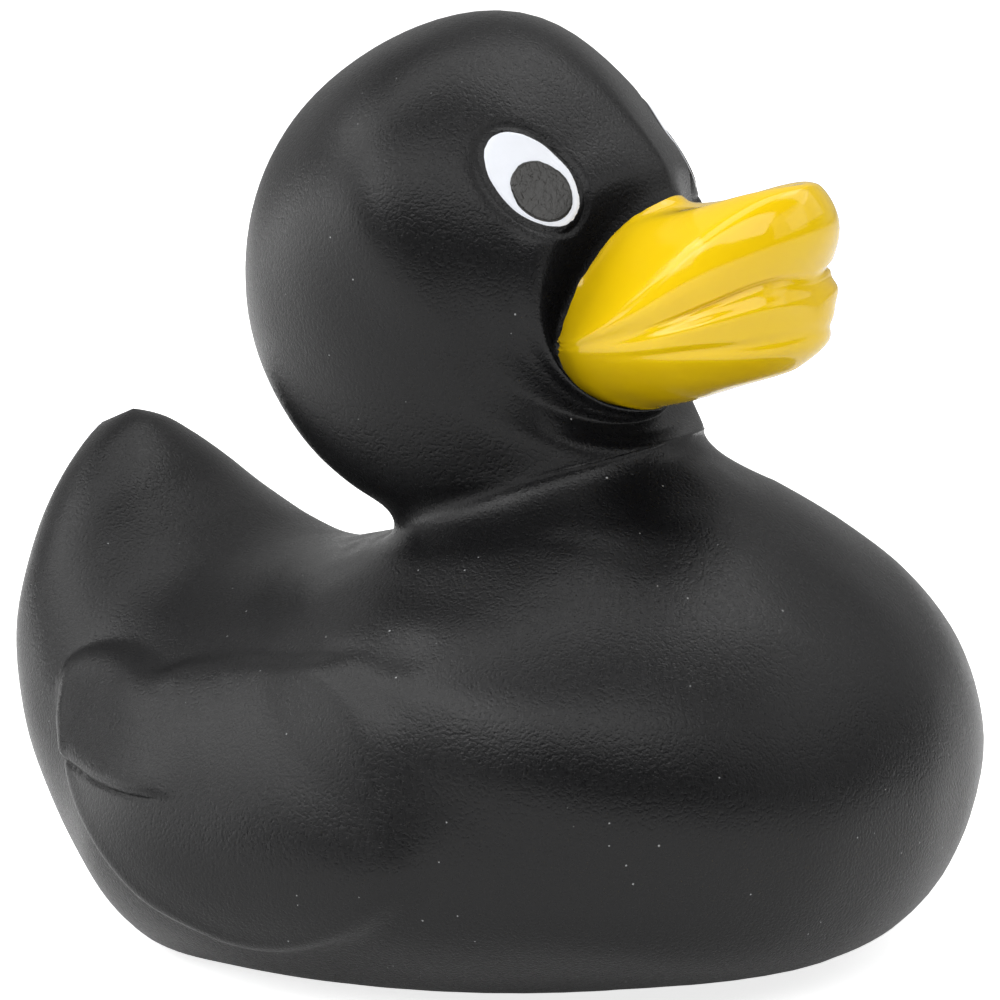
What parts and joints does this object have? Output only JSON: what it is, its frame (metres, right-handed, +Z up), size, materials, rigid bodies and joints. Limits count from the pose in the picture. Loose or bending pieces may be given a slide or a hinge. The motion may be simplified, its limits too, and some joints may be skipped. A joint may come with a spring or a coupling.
{
  "type": "rubber duck",
  "caption": "Hollow soft squeeze duck with moulded wings and upturned tail, coloured beak, printed oval eyes, flat base with squeaker.",
  "frame": {"origin": "on the table plane, under the middle of the duck's outline", "axes": "+Z up, +X the way the beak points, +Y the duck's left"},
  "size_m": [0.084, 0.0702, 0.0778],
  "materials": {
    "body": "matte black, fine casting grain",
    "beak_paint": "glossy sprayed enamel",
    "eye_white": "satin printed ink",
    "pupil": "glossy printed ink",
    "squeaker_plug": "natural moulded polyethylene",
    "squeaker_reed": "natural film"
  },
  "bodies": {
    "root": {"body": "body", "beak_paint": "beak_paint", "eye_white_left": "eye_white", "eye_white_right": "eye_white", "pupil_left": "pupil", "pupil_right": "pupil", "squeaker_plug": "squeaker_plug", "squeaker_reed": "squeaker_reed"}
  },
  "joints": []
}
